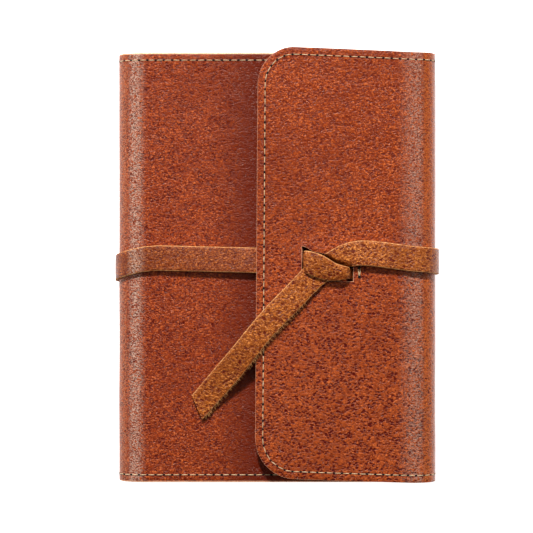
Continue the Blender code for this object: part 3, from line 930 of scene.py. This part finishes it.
def stitches(name, track, nodes, place):
    """Thread and needle holes every PITCH along a track of (point, up)."""
    shape = bmesh.new()
    s = running((Vector(b[0]) - Vector(a[0])).length for a, b in zip(track, track[1:]))
    points = np.array([list(t[0]) for t in track])
    ups = np.array([list(t[1]) for t in track])

    def at(v, values):
        return Vector([np.interp(v, s, values[:, k]) for k in range(3)])

    count = round(s[-1] / PITCH)
    pitch = s[-1] / count
    for i in range(count):
        middle = pitch * (i + 0.5)
        here, up = at(middle, points), at(middle, ups)
        way = at(min(s[-1], middle + 0.3), points) - at(max(0.0, middle - 0.3), points)
        way = Matrix.Rotation(random.uniform(-0.05, 0.05), 3, up) @ way
        bead(shape, here + up * 0.05, way, up, pitch - 0.9, 0.42, 0.46, THREAD)
        if i:
            here, up = at(pitch * i, points), at(pitch * i, ups)
            way = at(pitch * i + 0.3, points) - at(pitch * i - 0.3, points)
            length, width = random.uniform(1.25, 1.6), random.uniform(0.9, 1.15)
            bead(shape, here + up * 0.03, way, up, length, width, 0.36, HOLE)
    bmesh.ops.recalc_face_normals(shape, faces=shape.faces[:])
    made = smooth(finish_mesh(name, shape, [THREAD_LOOK, NEEDLE_HOLE_SHADE_LOOK]), 80.0)
    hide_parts(*nodes)
    place(made)


for end, y in (("top", HEAD - INSET), ("bottom", FOOT + INSET)):
    track = [((x, y, z), (nx, 0, nz)) for x, z, nx, nz in FRONT_PATH]
    stitches(f"front_seam_stitches_{end}", track, [f"front_stitching_{end}"],
             front_like)
    track = [((x, y, z), (nx, 0, nz)) for x, z, nx, nz in BACK_PATH]
    stitches(f"back_seam_stitches_{end}", track, [f"back_stitching_{end}", f"fore_edge_stitching_{end}"],
             fold_like)


def flap_point(x, y_share, y):
    y += flap_shift(x, y_share)
    return ((x + flap_slide(x, y), y, flap_z(x)), Vector((flap_slope(x), 0, 1.0)).normalized())


def flap_track():
    """The seam round the flap: along the head, down the free edge and back along the foot."""
    inner = CORNER - INSET
    runs = [s for s in FLAP_PATH if s[0] > FLAP_X + CORNER]
    track = [((x, HEAD - INSET + flap_shift(x, 1.0), z), (nx, 0, nz)) for x, z, nx, nz in runs]
    for a in range(0, 91, 6):
        t = math.radians(a)
        x = FLAP_X + CORNER - inner * math.sin(t)
        track.append(flap_point(x, 1.0, HEAD - CORNER + inner * math.cos(t)))
    for i in range(1, 60):
        y = HEAD - CORNER - (2 * HALF_Y - 2 * CORNER) * i / 60
        track.append(flap_point(FLAP_X + INSET, (y - MID_Y) / HALF_Y, y))
    for a in range(90, -1, -6):
        t = math.radians(a)
        x = FLAP_X + CORNER - inner * math.sin(t)
        track.append(flap_point(x, -1.0, FOOT + CORNER - inner * math.cos(t)))
    for x, z, nx, nz in runs[::-1]:
        track.append(((x, FOOT + INSET + flap_shift(x, -1.0), z), (nx, 0, nz)))
    return track


stitches("flap_edge_stitches", flap_track(), ["flap_stitching"], flap_like)

# The bar tack right of the window: two needle holes with two threads between them, a little apart.
TACK_X = 41.8
TACK_HOLES_Y = (-1.3, -5.9)
TACK_THREAD_Y = -3.6
TACK_APART = 0.36
shape = bmesh.new()
for y in TACK_HOLES_Y:
    bead(shape, (TACK_X, y, flap_z(TACK_X) + 0.05), (0, 1, 0), (0, 0, 1), 1.9, 1.6, 0.5, HOLE)
for dx in (-TACK_APART, TACK_APART):
    crossing = (0.11 * dx / TACK_APART, 1, 0)
    bead(shape, (TACK_X + dx, TACK_THREAD_Y, flap_z(TACK_X) + 0.12), crossing, (0, 0, 1),
         3.9, 0.55, 0.6, THREAD)
bmesh.ops.recalc_face_normals(shape, faces=shape.faces[:])
tack = smooth(finish_mesh("keeper_bar_tack_thread", shape, [THREAD_LOOK, NEEDLE_HOLE_SHADE_LOOK]), 80.0)
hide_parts("keeper_bar_tack")
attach(tack, "flap")


# ---------------------------------------------------------------- notebook

NOTEBOOK_LOOKS = {
    "notebook_page_block": PAGE_LOOK,
    "notebook_back_board": BOARD_LOOK,
    "notebook_front_board": BOARD_LOOK,
    "notebook_spine_strip": BOARD_LOOK,
    "front_pocket_sleeve": SUEDE_LOOK,
    "back_pocket_sleeve": SUEDE_LOOK,
}
for node, look in NOTEBOOK_LOOKS.items():
    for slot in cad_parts[node].material_slots:
        slot.material = look


# ---------------------------------------------------------------- stage, light and camera

floor_mesh = bpy.data.meshes.new("floor")
floor_mesh.from_pydata([(-3, -3, 0), (3, -3, 0), (3, 3, 0), (-3, 3, 0)], [], [(0, 1, 2, 3)])
floor = bpy.data.objects.new("floor", floor_mesh)
bpy.context.scene.collection.objects.link(floor)
floor_look, _, shader = nodes_of("pale floor")
shader.inputs["Base Color"].default_value = (0.9, 0.9, 0.9, 1)
shader.inputs["Roughness"].default_value = 0.9
shader.inputs["Emission Color"].default_value = (1, 1, 1, 1)
shader.inputs["Emission Strength"].default_value = 0.9
floor_mesh.materials.append(floor_look)


def area(name, place, aim, size, power, size_y=None):
    """An area light that faces aim. With a size_y it is a rectangle: at the sides, size lies along Y."""
    data = bpy.data.lights.new(name, "AREA")
    data.energy = power
    data.size = size
    if size_y:
        data.shape = "RECTANGLE"
        data.size_y = size_y
    made = bpy.data.objects.new(name, data)
    made.location = place
    made.rotation_mode = "QUATERNION"
    made.rotation_quaternion = (Vector(aim) - Vector(place)).to_track_quat("-Z", "Y")
    bpy.context.scene.collection.objects.link(made)


area("key", (-0.24, 1.90, 1.56), (0, 0, 0.02), 0.28, 110.0)
area("left strip", (-0.48, 0.0, 0.86), (-0.07, 0, 0.02), 0.9, 1.5, 0.16)
area("right strip", (0.48, 0.25, 0.92), (0.07, 0, 0.02), 0.8, 1.1, 0.12)
area("left fill", (-0.95, 0.1, 0.42), (-0.07, 0, 0.02), 0.8, 1.8, 0.3)
area("right fill", (0.95, 0.1, 0.42), (0.07, 0, 0.02), 0.8, 1.0, 0.3)

world = bpy.data.worlds.new("studio")
bpy.context.scene.world = world
world.use_nodes = True
background = world.node_tree.nodes["Background"]
background.inputs[0].default_value = (1, 1, 1, 1)
background.inputs[1].default_value = 0.03
bpy.context.scene.view_settings.view_transform = "Standard"

# The camera looks straight down, from DISTANCE above the flap's plane.
FLAP_PLANE = 0.026
DISTANCE = 0.9
CAMERA_X, CAMERA_Y = -0.00545, -0.0007
camera_data = bpy.data.cameras.new("camera")
camera_data.lens = 119.4
camera_data.sensor_width = 36.0
camera_data.clip_end = 20.0
camera = bpy.data.objects.new("camera", camera_data)
camera.location = (CAMERA_X, CAMERA_Y, FLAP_PLANE + DISTANCE)
bpy.context.scene.collection.objects.link(camera)
bpy.context.scene.camera = camera
